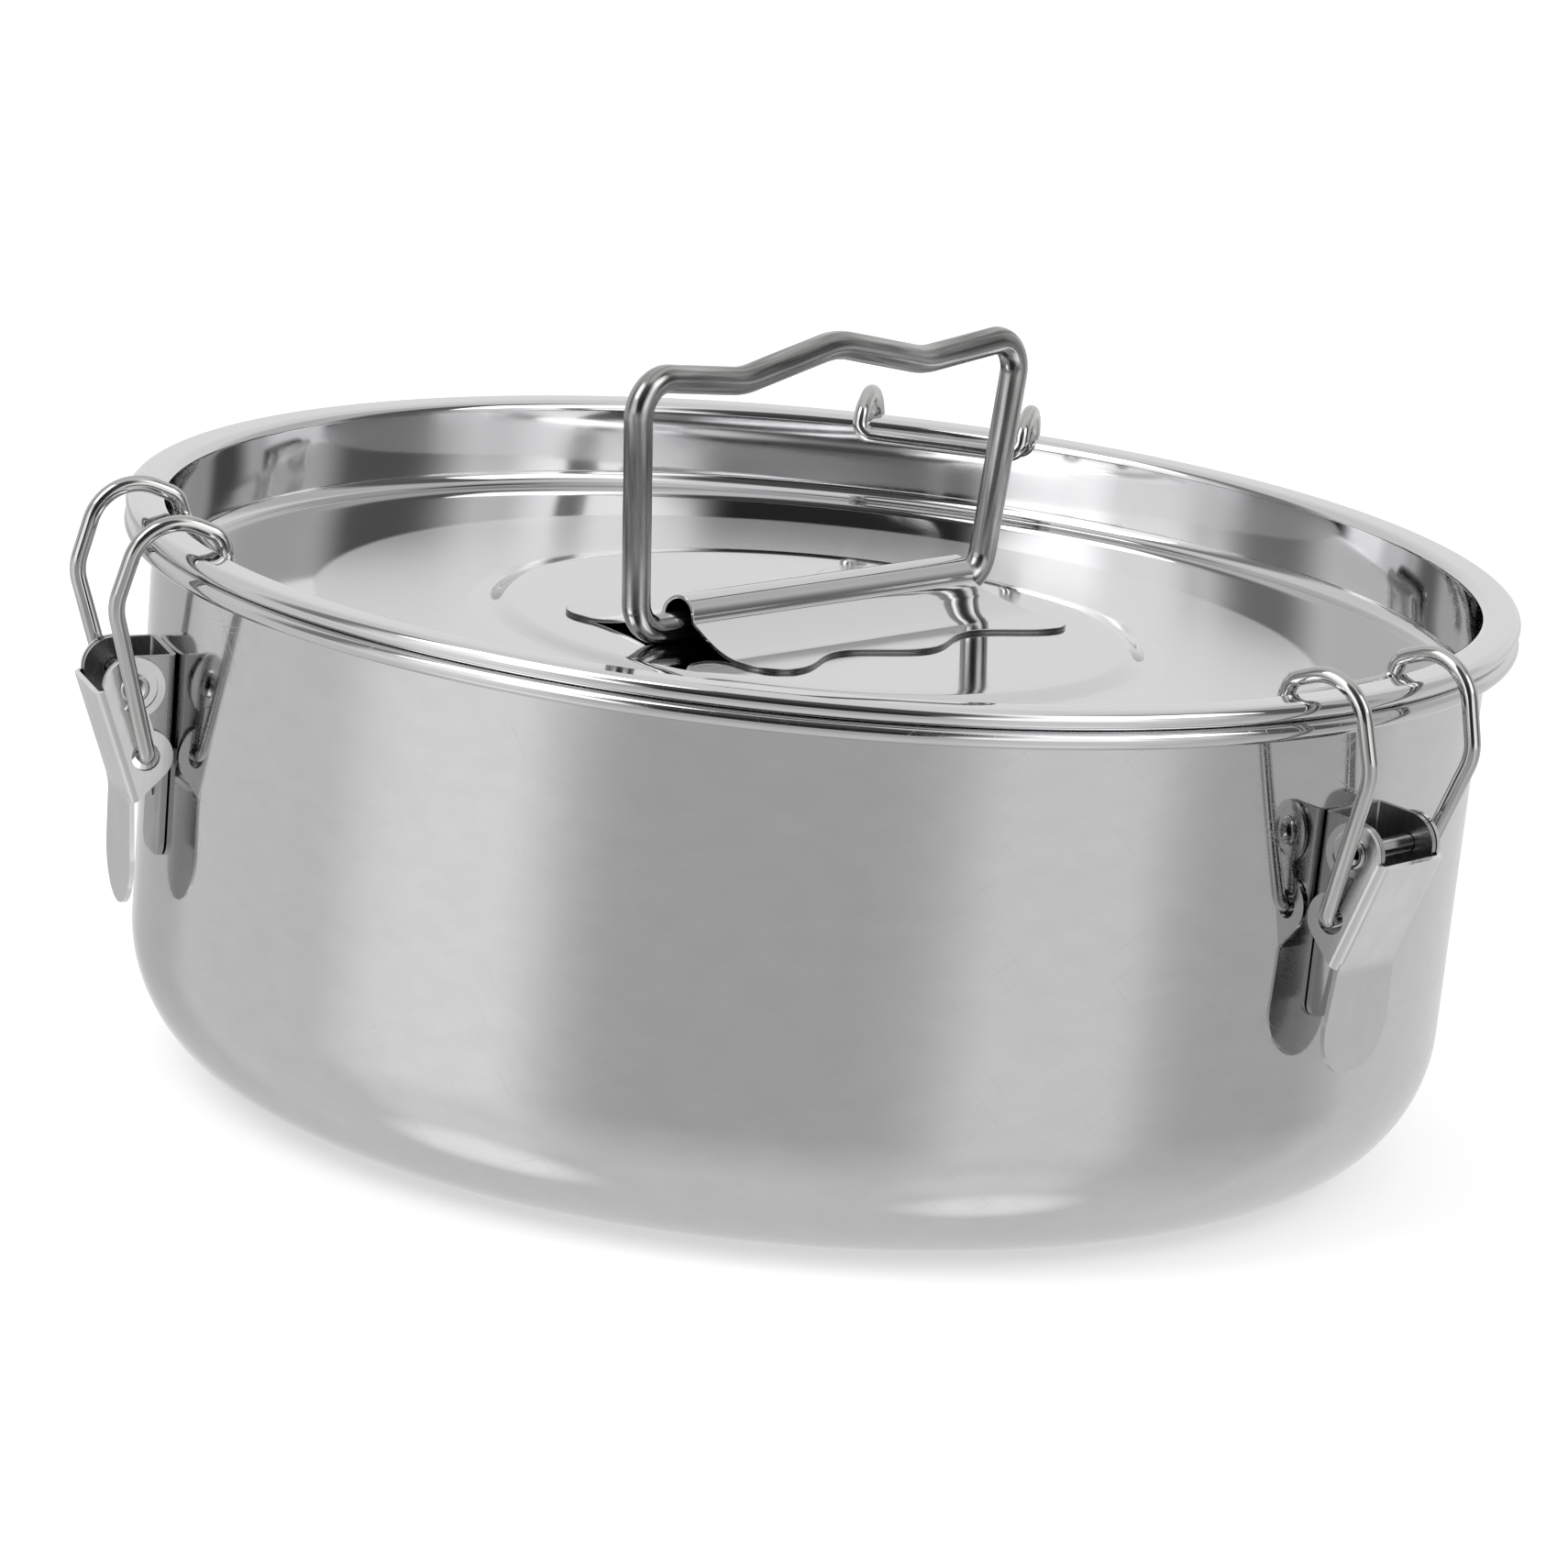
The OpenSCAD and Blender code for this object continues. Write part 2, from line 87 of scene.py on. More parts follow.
# A surface of points[i, j]: rows run along the first index and close on themselves along the second.
# Its map holds each point's length along the row direction and its share of the way round.
def closedGrid(name, points, along, material, node):
    rows, columns = points.shape[:2]
    first = np.arange(rows - 1)[:, None] * columns
    here = np.arange(columns)[None, :]
    beside = (here + 1) % columns
    faces = np.stack([first + here, first + beside, first + columns + beside, first + columns + here], -1)
    mesh = bpy.data.meshes.new(name)
    mesh.from_pydata((points.reshape(-1, 3) * mm).tolist(), [], faces.reshape(-1, 4).tolist())
    share = np.broadcast_to(here / columns, (rows - 1, columns))
    length = np.broadcast_to(along[:-1, None], (rows - 1, columns))
    ahead = np.broadcast_to(along[1:, None], (rows - 1, columns))
    mapU = np.stack([length, length, ahead, ahead], -1)
    mapV = np.stack([share, share + 1 / columns, share + 1 / columns, share], -1)
    layer = mesh.uv_layers.new(name="wireMap")
    layer.data.foreach_set("uv", np.stack([mapU, mapV], -1).astype(np.float32).ravel())
    closeMesh(mesh)
    mesh.shade_smooth()
    return placePiece(mesh, name, material, node)


# A lathe form: every profile point (radius, height) is turned about the Z axis.
def lathe(name, profile, around, material, node):
    turn = np.linspace(0, 2 * np.pi, around, endpoint=False)
    radius, height = profile[:, 0:1], profile[:, 1:2]
    points = np.stack([radius * np.cos(turn), radius * np.sin(turn), height + 0 * turn], -1)
    steps = np.hypot(*np.diff(profile, axis=0).T)
    return closedGrid(name, points, np.concatenate([[0], np.cumsum(steps)]), material, node)


# Puts more points on the straight stretches of a profile, no further apart than step.
def refine(profile, step):
    pieces = [profile[:1]]
    for start, end in zip(profile[:-1], profile[1:]):
        count = max(1, math.ceil(np.linalg.norm(end - start) / step))
        pieces.append(start + (end - start) * np.linspace(0, 1, count + 1)[1:, None])
    return np.vstack(pieces)


# A path through corners where each corner is an arc of its bend radius, tangent to both sides.
# Points stand a step apart in the bends and no further than straightStep apart between them.
def bentPath(corners, bends, step=0.35, straightStep=1.2):
    corners = np.array(corners, float)
    path = [corners[0]]
    for before, corner, after, bend in zip(corners[:-2], corners[1:-1], corners[2:], bends):
        coming = (corner - before) / np.linalg.norm(corner - before)
        going = (after - corner) / np.linalg.norm(after - corner)
        turn = math.acos(coming @ going)
        start = corner - coming * bend * math.tan(turn / 2)
        inside = going - coming * (coming @ going)
        inside /= np.linalg.norm(inside)
        angles = np.linspace(0, turn, max(3, math.ceil(bend * turn / step)))[:, None]
        path.append(start + bend * (inside * (1 - np.cos(angles)) + coming * np.sin(angles)))
    path.append(corners[-1])
    return refine(np.vstack(path), straightStep)


# One direction square to each tangent, carried from point to point so that it never twists.
def sideways(tangent):
    start = np.cross(tangent[0], np.eye(3)[np.argmin(np.abs(tangent[0]))])
    side = [start / np.linalg.norm(start)]
    for ahead in tangent[1:]:
        level = side[-1] - ahead * (ahead @ side[-1])
        side.append(level / np.linalg.norm(level))
    return np.array(side)


# A round wire: each path point carries a circle square to the path. At both ends the circles
# shrink over the chamfer and close on the axis.
def wire(name, path, radius, chamfer, sides, material, node):
    along = np.concatenate([[0], np.cumsum(np.linalg.norm(np.diff(path, axis=0), axis=1))])
    total = along[-1]
    inner = along[(along > chamfer * 2) & (along < total - chamfer * 2)]
    shoulder = chamfer * 0.3
    tip = np.array([0, 0, shoulder, chamfer])
    stations = np.concatenate([tip, inner, total - tip[::-1]])
    centres = np.column_stack([np.interp(stations, along, path[:, axis]) for axis in range(3)])
    tangent = np.gradient(path, axis=0)
    tangent = np.column_stack([np.interp(stations, along, tangent[:, axis]) for axis in range(3)])
    tangent /= np.linalg.norm(tangent, axis=1)[:, None]
    side = sideways(tangent)
    other = np.cross(tangent, side)
    size = np.full(len(stations), radius)
    size[[1, -2]] = radius - chamfer
    size[[2, -3]] = radius - shoulder
    size[[0, -1]] = 0
    turn = np.linspace(0, 2 * np.pi, sides, endpoint=False)[None, :, None]
    ring = side[:, None] * np.cos(turn) + other[:, None] * np.sin(turn)
    return closedGrid(name, centres[:, None] + ring * size[:, None, None], stations, material, node)


# A pressed piece keeps its solid's form: triangles that lie within the flat angle of each other are
# merged into whole faces, shading breaks at the sharp angle, and edges above the bevel angle are rounded.
pressing = {"merge": 0.002, "flat": 0.6, "sharp": 28, "bevel": 40, "segments": 2}


def pressed(name, node, material, rounding):
    shape = bmesh.new()
    shape.from_mesh(frame["nodes"][node].data)
    bmesh.ops.remove_doubles(shape, verts=shape.verts, dist=pressing["merge"] * mm)
    flat = math.radians(pressing["flat"])
    bmesh.ops.dissolve_limit(shape, angle_limit=flat, verts=shape.verts, edges=shape.edges)
    mesh = bpy.data.meshes.new(name)
    shape.to_mesh(mesh)
    shape.free()
    mesh.shade_smooth()
    mesh.set_sharp_from_angle(angle=math.radians(pressing["sharp"]))
    piece = placePiece(mesh, name, material, node)
    bevel = piece.modifiers.new("edges", "BEVEL")
    bevel.width = rounding * mm
    bevel.segments = pressing["segments"]
    bevel.limit_method = "ANGLE"
    bevel.angle_limit = math.radians(pressing["bevel"])
    bevel.use_clamp_overlap = True
    bevel.harden_normals = True
    return piece


# Finishes

# A hex sRGB colour as linear light.
def linear(hexColour):
    parts = [int(hexColour[i:i + 2], 16) / 255 for i in (1, 3, 5)]
    return [c / 12.92 if c <= 0.04045 else ((c + 0.055) / 1.055) ** 2.4 for c in parts] + [1]


# Adds a node with its settings, and fills or links its inputs.
def add(tree, kind, inputs=None, **settings):
    node = tree.nodes.new(kind)
    for key, value in settings.items():
        setattr(node, key, value)
    for key, value in (inputs or {}).items():
        if isinstance(value, bpy.types.NodeSocket):
            tree.links.new(value, node.inputs[key])
        else:
            node.inputs[key].default_value = value
    return node


def startMaterial(name, **shader):
    material = bpy.data.materials.new(name)
    material.use_nodes = True
    tree = material.node_tree
    surface = tree.nodes["Principled BSDF"]
    for key, value in shader.items():
        surface.inputs[key].default_value = value
    return material, tree, surface


# Grain of one size per direction: lengths in millimetres along X, Y and Z, after a turn in degrees.
# Its values lie mostly between 0.3 and 0.7, so the limits that spread it are near these.
def grain(tree, source, lengths, detail=2.0, turn=(0, 0, 0)):
    stretch = {"Vector": source, "Rotation": [math.radians(angle) for angle in turn],
               "Scale": [length * mm for length in lengths]}
    place = add(tree, "ShaderNodeMapping", stretch, vector_type="TEXTURE")
    noise = add(tree, "ShaderNodeTexNoise", {"Vector": place.outputs[0], "Scale": 1.0, "Detail": detail})
    return noise.outputs["Fac"]


# Deep drawn 304 stainless sheet, buffed: a mirror with handling marks.
# Roughness = cloudy wipe marks + upright streaks + fine lines round the wall + sparse scratches.
# Colour = two greys, mixed by faint smears. Scratches = thin slanted grain above a limit, two ways.
# Real buffing lines are near 0.05 mm and scratches 0.03 mm, drawn here 0.4 and 0.18 mm wide to show.
def buffedSheet(name, colours, smooth, rough, streak, hair, relief, scratch):
    material, tree, surface = startMaterial(name, Metallic=1.0)
    place = add(tree, "ShaderNodeTexCoord").outputs["Object"]
    hairlines = grain(tree, place, (26, 26, 0.4))
    streaks = grain(tree, place, (5, 5, 90), 4.0)
    wipes = grain(tree, place, (16, 16, 16), 4.0)
    soft = add(tree, "ShaderNodeMapRange", {0: wipes, 1: 0.35, 2: 0.7, 3: smooth, 4: rough}).outputs[0]
    limits = {0: streaks, 1: 0.35, 2: 0.65, 3: -streak, 4: streak}
    upright = add(tree, "ShaderNodeMapRange", limits).outputs[0]
    fine = add(tree, "ShaderNodeMapRange", {0: hairlines, 1: 0.3, 2: 0.7, 3: -hair, 4: hair}).outputs[0]
    whole = add(tree, "ShaderNodeMath", {0: soft, 1: upright}, operation="ADD").outputs[0]
    whole = add(tree, "ShaderNodeMath", {0: whole, 1: fine}, operation="ADD").outputs[0]
    for turn in ((58, 0, 20), (-34, 12, 75)):
        scratches = grain(tree, place, (12, 12, 0.18), 1.0, turn)
        marks = add(tree, "ShaderNodeMapRange", {0: scratches, 1: 0.65, 2: 0.72, 3: 0.0, 4: scratch})
        whole = add(tree, "ShaderNodeMath", {0: whole, 1: marks.outputs[0]}, operation="ADD").outputs[0]
    smears = grain(tree, place, (5, 5, 2.6), 4.0)
    share = add(tree, "ShaderNodeMapRange", {0: smears, 1: 0.3, 2: 0.7}).outputs[0]
    light, dull = (linear(colour) for colour in colours)
    tint = add(tree, "ShaderNodeMix", {0: share, 6: light, 7: dull}, data_type="RGBA").outputs[2]
    bump = add(tree, "ShaderNodeBump", {"Height": hairlines, "Strength": relief, "Distance": 0.02 * mm})
    tree.links.new(tint, surface.inputs["Base Color"])
    tree.links.new(whole, surface.inputs["Roughness"])
    tree.links.new(bump.outputs[0], surface.inputs["Normal"])
    return material


# Polished 304 sheet with a satin ring between two radii, ground on a wheel: the ring blurs what it
# mirrors and scatters some light. Ring share = rises at the inner radius x falls at the outer one.
# Roughness = polish, moved by wipe marks, or the ring's own. Metal = full or the ring's own. Both by share.
def ringedSheet(name, colour, mirror, satin, inner, outer):
    material, tree, surface = startMaterial(name, Metallic=1.0)
    surface.inputs["Base Color"].default_value = linear(colour)
    place = add(tree, "ShaderNodeTexCoord").outputs["Object"]
    flat = add(tree, "ShaderNodeVectorMath", {0: place, 1: (1, 1, 0)}, operation="MULTIPLY").outputs[0]
    radius = add(tree, "ShaderNodeVectorMath", {0: flat}, operation="LENGTH").outputs["Value"]
    edge = 0.5 * mm
    rise = add(tree, "ShaderNodeMapRange", {0: radius, 1: inner * mm - edge, 2: inner * mm + edge})
    fall = add(tree, "ShaderNodeMapRange", {0: radius, 1: outer * mm + edge, 2: outer * mm - edge})
    both = add(tree, "ShaderNodeMath", {0: rise.outputs[0], 1: fall.outputs[0]}, operation="MULTIPLY")
    share = both.outputs[0]
    wipes = grain(tree, place, (30, 30, 30), 3.0)
    polish = add(tree, "ShaderNodeMapRange", {0: wipes, 1: 0.35, 2: 0.7, 3: mirror, 4: mirror * 2})
    rough = add(tree, "ShaderNodeMix", {0: share, 2: polish.outputs[0], 3: satin["rough"]}).outputs[0]
    metal = add(tree, "ShaderNodeMix", {0: share, 2: 1.0, 3: satin["metal"]}).outputs[0]
    tree.links.new(rough, surface.inputs["Roughness"])
    tree.links.new(metal, surface.inputs["Metallic"])
    return material


# The saddle's pressed sheet, polished, with a rougher low edge painted dark as shade where it meets the lid.
# Edge share = upright faces only x low down on the plate only.
# Colour and roughness = polish or edge, mixed by it.
def shadedEdgeSheet(name, colours, polish, edgeRough, plateTop):
    material, tree, surface = startMaterial(name, Metallic=1.0)
    place = add(tree, "ShaderNodeTexCoord").outputs["Object"]
    normal = add(tree, "ShaderNodeNewGeometry").outputs["True Normal"]
    facing = add(tree, "ShaderNodeSeparateXYZ", {0: normal}).outputs["Z"]
    tilt = add(tree, "ShaderNodeMath", {0: facing}, operation="ABSOLUTE").outputs[0]
    height = add(tree, "ShaderNodeSeparateXYZ", {0: place}).outputs["Z"]
    upright = add(tree, "ShaderNodeMapRange", {0: tilt, 1: 0.6, 2: 0.3}).outputs[0]
    low = add(tree, "ShaderNodeMapRange", {0: height, 1: (plateTop + 0.3) * mm, 2: plateTop * mm}).outputs[0]
    share = add(tree, "ShaderNodeMath", {0: upright, 1: low}, operation="MULTIPLY").outputs[0]
    # The edge grey is painted shade along the plate's foot on the lid; only its roughness is the cut edge's own.
    face, edge = (linear(colour) for colour in colours)
    tint = add(tree, "ShaderNodeMix", {0: share, 6: face, 7: edge}, data_type="RGBA").outputs[2]
    wipes = grain(tree, place, (16, 16, 16), 4.0)
    sheen = add(tree, "ShaderNodeMapRange", {0: wipes, 1: 0.35, 2: 0.7, 3: polish, 4: polish * 1.8})
    rough = add(tree, "ShaderNodeMix", {0: share, 2: sheen.outputs[0], 3: edgeRough}).outputs[0]
    tree.links.new(tint, surface.inputs["Base Color"])
    tree.links.new(rough, surface.inputs["Roughness"])
    return material


# Drawn 304 wire, left as drawn: fine lines and wider dull streaks, all along its length.
# Colour = two greys, mixed by the streaks. Roughness = a middle value, moved by the fine lines.
# Real die lines are near 0.03 mm, drawn here about 0.2 mm wide to show, and the streaks 0.7 mm.
# The scales are per millimetre of length and per turn round the wire.
def drawnWire(name, colours, rough):
    material, tree, surface = startMaterial(name, Metallic=1.0)
    place = add(tree, "ShaderNodeUVMap", uv_map="wireMap").outputs[0]
    stretch = add(tree, "ShaderNodeMapping", {"Vector": place, "Scale": (0.12, 40, 1)})
    drawn = add(tree, "ShaderNodeTexNoise", {"Vector": stretch.outputs[0], "Scale": 1.0, "Detail": 3.0})
    lines = drawn.outputs["Fac"]
    wide = add(tree, "ShaderNodeMapping", {"Vector": place, "Scale": (0.07, 14, 1)})
    streaks = add(tree, "ShaderNodeTexNoise", {"Vector": wide.outputs[0], "Scale": 1.0, "Detail": 3.0})
    share = add(tree, "ShaderNodeMapRange", {0: streaks.outputs["Fac"], 1: 0.35, 2: 0.65})
    light, dull = (linear(colour) for colour in colours)
    tint = add(tree, "ShaderNodeMix", {0: share.outputs[0], 6: light, 7: dull}, data_type="RGBA")
    spread = add(tree, "ShaderNodeMapRange", {0: lines, 1: 0.3, 2: 0.7, 3: rough - 0.05, 4: rough + 0.06})
    bump = add(tree, "ShaderNodeBump", {"Height": lines, "Strength": 0.25, "Distance": 0.03 * mm})
    tree.links.new(tint.outputs[2], surface.inputs["Base Color"])
    tree.links.new(spread.outputs[0], surface.inputs["Roughness"])
    tree.links.new(bump.outputs[0], surface.inputs["Normal"])
    return material


# Cold rolled 304 strip, blanked and folded: satin, with faint rolling lines down its length.
# Roughness = a middle value + rolling lines + patches. Colour = two greys, mixed by the patches.
# Real rolling lines are near 0.02 mm, drawn here 0.25 mm wide to show.
def rolledStrip(name, colours, rough):
    material, tree, surface = startMaterial(name, Metallic=1.0)
    place = add(tree, "ShaderNodeTexCoord").outputs["Object"]
    lines = grain(tree, place, (0.25, 0.25, 9))
    patches = grain(tree, place, (4, 4, 6))
    fine = add(tree, "ShaderNodeMapRange", {0: lines, 1: 0.3, 2: 0.7, 3: rough - 0.03, 4: rough + 0.03})
    wide = add(tree, "ShaderNodeMapRange", {0: patches, 1: 0.3, 2: 0.7, 3: -0.03, 4: 0.04})
    both = add(tree, "ShaderNodeMath", {0: fine.outputs[0], 1: wide.outputs[0]}, operation="ADD")
    share = add(tree, "ShaderNodeMapRange", {0: patches, 1: 0.3, 2: 0.7}).outputs[0]
    light, dull = (linear(colour) for colour in colours)
    tint = add(tree, "ShaderNodeMix", {0: share, 6: light, 7: dull}, data_type="RGBA").outputs[2]
    bump = add(tree, "ShaderNodeBump", {"Height": lines, "Strength": 0.12, "Distance": 0.02 * mm})
    tree.links.new(tint, surface.inputs["Base Color"])
    tree.links.new(both.outputs[0], surface.inputs["Roughness"])
    tree.links.new(bump.outputs[0], surface.inputs["Normal"])
    return material


panSteel = buffedSheet("deepDrawnStainless", ("#CFCFD0", "#CBCBCC"), smooth=0.055, rough=0.095,
                       streak=0.008, hair=0.01, relief=0.01, scratch=0.14)
lidSteel = ringedSheet("polishedStainless", "#D4D4D5", mirror=0.04, satin={"rough": 0.25, "metal": 0.72},
                       inner=43, outer=62)
# The saddle's plate ends a little above its sheet's 0.5 mm.
plateHeight = 0.7
# The saddle's second grey is painted shade along the plate's edge where it sits on the lid.
saddleSteel = shadedEdgeSheet("pressedSaddleStainless", ("#D2D2D3", "#5C5B5A"), polish=0.06, edgeRough=0.3,
                           plateTop=boxMm("handle_saddle")[0][2] + plateHeight)
handleSteel = drawnWire("drawnHandleWire", ("#B9B8B7", "#7C7B7A"), rough=0.19)
loopSteel = drawnWire("drawnLoopWire", ("#CAC9C8", "#ACABAA"), rough=0.11)
leverSteel = rolledStrip("rolledLeverStrip", ("#DEDEDE", "#D8D8D8"), rough=0.19)
bracketSteel = rolledStrip("rolledBracketStrip", ("#B3B3B2", "#ACACAB"), rough=0.24)
pinSteel = rolledStrip("rolledPinStrip", ("#C2C2C2", "#BBBBBB"), rough=0.18)
print("finishes made")

# Pan

pan = {"sheet": 0.6, "corner": 18, "draft": 1.2, "rimWidth": 3.6, "rimHeight": 2.3, "fold": 0.35,
       "slit": 0.8, "lip": 0.6, "around": 360, "step": 4}


def wallRadius(height):
    return wallTop - (panTop - height) * math.tan(math.radians(pan["draft"]))


panTop = boxMm("pan")[1][2]
rimRadius = boxMm("pan")[1][0]
wallTop = rimRadius - pan["rimWidth"]
rollRadius = pan["rimHeight"] / 2


# Half of a rolled edge with its top at top: under the flange, round the roll inside, back outside.
def rolledEdge(top, sheet, slitRadius):
    centre = (rimRadius - rollRadius, top - rollRadius)
    inner = arc(centre, rollRadius - sheet, 90, -90, 20)
    outer = arc(centre, rollRadius, -90, 90, 28)
    under = top - pan["rimHeight"]
    return np.vstack([inner, [(slitRadius, under + sheet), (slitRadius, under)], outer])


def panProfile():
    lean, sheet, corner = pan["draft"], pan["sheet"], pan["corner"]
    tilt = math.cos(math.radians(lean))
    centre = (wallRadius(corner) - corner / tilt, corner)
    foldCentre = (wallTop + pan["fold"], panTop - sheet - pan["fold"])
    lipCentre = (wallTop - sheet + pan["lip"], panTop - pan["lip"])
    return np.vstack([
        [(0, 0)], arc(centre, corner, -90, -lean, 40),
        arc(foldCentre, pan["fold"], 180, 90, 6),
        rolledEdge(panTop, sheet, wallTop + pan["slit"]),
        arc(lipCentre, pan["lip"], 90, 180, 8),
        arc(centre, corner - sheet, -lean, -90, 40), [(0, sheet)]
    ])


lathe("panBody", refine(panProfile(), pan["step"]), pan["around"], panSteel, "pan")
print("pan made")

# Lid

lid = {"sheet": 0.5, "gap": 0.3, "recess": 10.9, "foot": 1.8, "lip": 1.2, "stage": 76, "rise": 1.1,
       "slope": 3, "around": 384, "step": 2.5}
lidTop = boxMm("lid")[1][2]
floorZ = lidTop - lid["recess"]


# Height of the lid's middle at a radius: level, then a half cosine wave down to the floor.
def stageHeight(radius):
    share = np.clip((radius - lid["stage"] / 2) / lid["slope"], 0, 1)
    return floorZ + lid["rise"] * (1 + np.cos(np.pi * share)) / 2


def lidProfile():
    sheet, foot, lip = lid["sheet"], lid["foot"], lid["lip"]
    slope = math.tan(math.radians(pan["draft"]))
    wall = wallTop - pan["sheet"] - lid["gap"]
    footWall = wall - (lid["recess"] - foot) * slope
    footCentre = (footWall - sheet - foot, floorZ + foot)
    lipCentre = (wall - lip * slope - sheet + lip, lidTop - lip)
    edge = lid["stage"] / 2
    radii = np.concatenate([[0, edge / 2], np.linspace(edge, edge + lid["slope"], 13)])
    middle = np.column_stack([radii, stageHeight(radii)])
    return np.vstack([
        middle - (0, sheet), arc(footCentre, foot + sheet, -90, -pan["draft"], 14),
        arc(lipCentre, lip - sheet, 180, 90, 8),
        rolledEdge(lidTop, sheet, lipCentre[0] + pan["slit"]),
        arc(lipCentre, lip, 90, 180, 14),
        arc(footCentre, foot, -pan["draft"], -90, 14), middle[::-1]
    ])


lathe("lidBody", refine(lidProfile(), lid["step"]), lid["around"], lidSteel, "lid")
print("lid made")

# Saddle and handle

saddle = {"rounding": 0.12}
pressed("handleSaddle", "handle_saddle", saddleSteel, saddle["rounding"])

# The grip's three soft bends have the radius wave. It is 7 in the source, and larger here because the
# photograph shows them softer.
handle = {"wire": 3.5, "foot": 31.5, "top": 35, "rise": 31.5, "dip": 16.6, "dipDrop": 1.9, "peakRise": 3.4,
          "bend": 4.2, "wave": 12, "slide": -1.6, "gap": 2, "chamfer": 0.3, "sides": 32}


def handlePath():
    hinge = joints["handle_hinge"]["pos_m"][2] / mm
    corner = hinge + handle["rise"]
    dip = corner - handle["dipDrop"]
    half = [(handle["gap"] / 2, 0, hinge), (handle["foot"], 0, hinge),
            (handle["top"], 0, corner), (handle["dip"], 0, dip)]
    points = [(-x, y, z) for x, y, z in half] + [(0, 0, dip + handle["peakRise"])] + half[::-1]
    bends = [handle["bend"]] * 2 + [handle["wave"]] * 3 + [handle["bend"]] * 2
    return bentPath(points, bends) + (handle["slide"], 0, 0)


wire("handleWire", handlePath(), handle["wire"] / 2, handle["chamfer"], handle["sides"], handleSteel,
     "handle_wire")
print("saddle and handle made")

# Latches

loop = {"wire": 2, "width": 21.6, "lift": 0.4, "crestRise": 3.3, "crestOut": 2.5, "barDrop": 3.3,
        "barGap": 0.8, "barBack": 0.2, "barRun": 1.2, "shoulder": 4.6, "shoulderIn": 0.5, "kink": 62.8,
        "end": 2.7, "leverWidth": 12.5, "leverGap": 0.2, "hookBend": 1.6, "armBend": 6, "kneeShare": 0.7,
        "barShare": 0.5, "chamfer": 0.2, "sides": 24}
latch = {"rounding": 0.12, "pinRounding": 0.05}


# The loop in its latch's own frame, X outwards and Y along the rim: in at the hook's hole, up past the
# rim, over a crest and down to the cross bar, then the same mirrored in Y.
def loopPath(hook):
    radius, arm = loop["wire"] / 2, loop["width"] / 2
    low = loop["leverWidth"] / 2 + loop["leverGap"] + radius
    turn = lidTop + radius + loop["lift"]
    reach = wallTop - pan["sheet"] - lid["gap"] - lid["sheet"] - radius - loop["barGap"]
    bar = math.sqrt(reach ** 2 - arm ** 2) - loop["barBack"]
    half = [(hook[0], low - loop["end"], hook[1]), (hook[0], low, hook[1]),
            (rimRadius + loop["shoulder"] + radius, arm - loop["shoulderIn"], loop["kink"]),
            (rimRadius + loop["crestOut"], arm, turn + loop["crestRise"]),
            (bar + loop["barRun"], arm, turn), (bar, arm, turn - loop["barDrop"])]
    points = [(x, -y, z) for x, y, z in half] + half[::-1]
    bends = [loop["hookBend"], loop["armBend"], loop["armBend"]]
    bends += [loop["kneeShare"] * loop["barDrop"], loop["barShare"] * loop["barDrop"]]
    return bentPath(points, bends + bends[::-1])


def turned(points, angle):
    c, s = math.cos(angle), math.sin(angle)
    return points @ np.array([(c, s, 0), (-s, c, 0), (0, 0, 1)])


for number in (1, 2, 3):
    hinge = np.array(joints[f"loop_{number}_hinge"]["pos_m"]) / mm
    hook = (math.hypot(hinge[0], hinge[1]), hinge[2])
    path = turned(loopPath(hook), math.atan2(hinge[1], hinge[0]))
    node = f"latch_loop_{number}"
    wire(f"latchLoop{number}", path, loop["wire"] / 2, loop["chamfer"], loop["sides"], loopSteel, node)
    pressed(f"latchLever{number}", f"latch_lever_{number}", leverSteel, latch["rounding"])
    pressed(f"latchBracket{number}", f"latch_bracket_{number}", bracketSteel, latch["rounding"])
    pressed(f"latchPin{number}", f"latch_pin_{number}", pinSteel, latch["pinRounding"])
print("latches made")

# Camera

camera = {"azimuth": -49, "elevation": 13.644, "roll": 5.458, "lens": 192.13, "sensor": 36,
          "distance": 1037.1, "aim": (-1.448, 1.666, 39.481), "near": 50, "far": 20000}


def placeCamera():
    azimuth, elevation, roll = (math.radians(camera[key]) for key in ("azimuth", "elevation", "roll"))
    level = math.cos(elevation)
    back = Vector((math.sin(azimuth) * level, -math.cos(azimuth) * level, math.sin(elevation)))
    right = Vector((math.cos(azimuth), math.sin(azimuth), 0))
    up = back.cross(right)
    data = bpy.data.cameras.new("camera")
    data.lens, data.sensor_width = camera["lens"], camera["sensor"]
    data.clip_start, data.clip_end = camera["near"] * mm, camera["far"] * mm
    eye = bpy.data.objects.new("camera", data)
    bpy.context.scene.collection.objects.link(eye)
    across = right * math.cos(roll) + up * math.sin(roll)
    upward = up * math.cos(roll) - right * math.sin(roll)
    eye.matrix_world = Matrix((across, upward, back)).transposed().to_4x4()
    eye.location = Vector(camera["aim"]) * mm + back * camera["distance"] * mm
    bpy.context.scene.camera = eye


placeCamera()
print("camera placed")

# Studio

